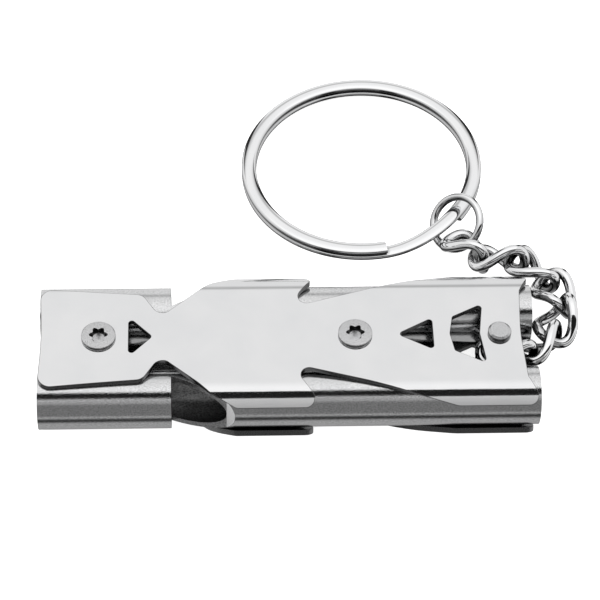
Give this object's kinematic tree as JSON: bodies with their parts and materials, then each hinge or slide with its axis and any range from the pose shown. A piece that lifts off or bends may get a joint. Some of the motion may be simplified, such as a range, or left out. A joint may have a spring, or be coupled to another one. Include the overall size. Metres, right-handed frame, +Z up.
{
  "type": "survival whistle",
  "caption": "Flat survival whistle with side-by-side tubes held between folded plates, a curb chain on a pin and a split key ring to hang it from.",
  "frame": {"origin": "middle of the lower plate's flat underside, halfway along the tubes", "axes": "+X along the tubes from the mouth end to the chain end, +Y from the front tube to the rear tube, +Z up through the plates"},
  "size_m": [0.0531, 0.0464, 0.0073],
  "materials": {
    "plate_steel": "polished",
    "tube_steel": "polished",
    "plug_metal": "satin",
    "post_steel": "turned",
    "screw_steel": "satin",
    "chain_steel": "polished plate",
    "ring_steel": "polished plate"
  },
  "bodies": {
    "whistle": {"upper_plate": "plate_steel", "lower_plate": "plate_steel", "front_tube": "tube_steel", "rear_tube": "tube_steel", "front_mouth_plug": "plug_metal", "rear_mouth_plug": "plug_metal", "front_stopper": "plug_metal", "rear_stopper": "plug_metal", "mouth_post": "post_steel", "middle_post": "post_steel", "mouth_screw": "screw_steel", "middle_screw": "screw_steel", "chain_pin": "screw_steel"},
    "pin_link": {"pin_link": "chain_steel"},
    "chain_link_1": {"chain_link_1": "chain_steel"},
    "chain_link_2": {"chain_link_2": "chain_steel"},
    "chain_link_3": {"chain_link_3": "chain_steel"},
    "chain_link_4": {"chain_link_4": "chain_steel"},
    "chain_link_5": {"chain_link_5": "chain_steel"},
    "chain_link_6": {"chain_link_6": "chain_steel"},
    "jump_ring": {"jump_ring": "ring_steel"},
    "key_ring": {"key_ring": "ring_steel"}
  },
  "joints": [
    {"name": "pin_link_swing", "type": "hinge", "parent": "whistle", "child": "pin_link", "pos_m": [0.02038, 0, 0.00337], "axis": [0, 1, 0], "range_deg": [-2, 4]},
    {"name": "chain_link_1_swing", "type": "hinge", "parent": "pin_link", "child": "chain_link_1", "pos_m": [0.02405, 0, 0.00337], "axis": [0, 0.1517, 0.9884], "range_deg": [-8, 1]},
    {"name": "chain_link_2_swing", "type": "hinge", "parent": "chain_link_1", "child": "chain_link_2", "pos_m": [0.02669, 0.003, 0.00294], "axis": [-0.0819, 0.2291, 0.9699], "range_deg": [-40, 2]},
    {"name": "chain_link_3_swing", "type": "hinge", "parent": "chain_link_2", "child": "chain_link_3", "pos_m": [0.02771, 0.00677, 0.00304], "axis": [0.2607, -0.103, 0.9599], "range_deg": [-40, 5]},
    {"name": "chain_link_4_swing", "type": "hinge", "parent": "chain_link_3", "child": "chain_link_4", "pos_m": [0.02632, 0.01042, 0.00242], "axis": [0.756, 0.2844, 0.5895], "range_deg": [-40, 6]},
    {"name": "chain_link_5_swing", "type": "hinge", "parent": "chain_link_4", "child": "chain_link_5", "pos_m": [0.02294, 0.01236, 0.00345], "axis": [0.6101, 0.784, 0.1146], "range_deg": [-40, 40]},
    {"name": "chain_link_6_swing", "type": "hinge", "parent": "chain_link_5", "child": "chain_link_6", "pos_m": [0.01915, 0.01285, 0.00253], "axis": [-0.215, -0.9745, 0.0649], "range_deg": [-40, 15]},
    {"name": "jump_ring_swing", "type": "hinge", "parent": "chain_link_6", "child": "jump_ring", "pos_m": [0.01931, 0.01629, 0.00145], "axis": [-0.6479, 0.722, 0.2428], "range_deg": [-25, 1]},
    {"name": "key_ring_swing", "type": "hinge", "parent": "jump_ring", "child": "key_ring", "pos_m": [0.01719, 0.01823, 0.00199], "axis": [0.6717, 0.7408, 0], "range_deg": [-10, 45]}
  ]
}
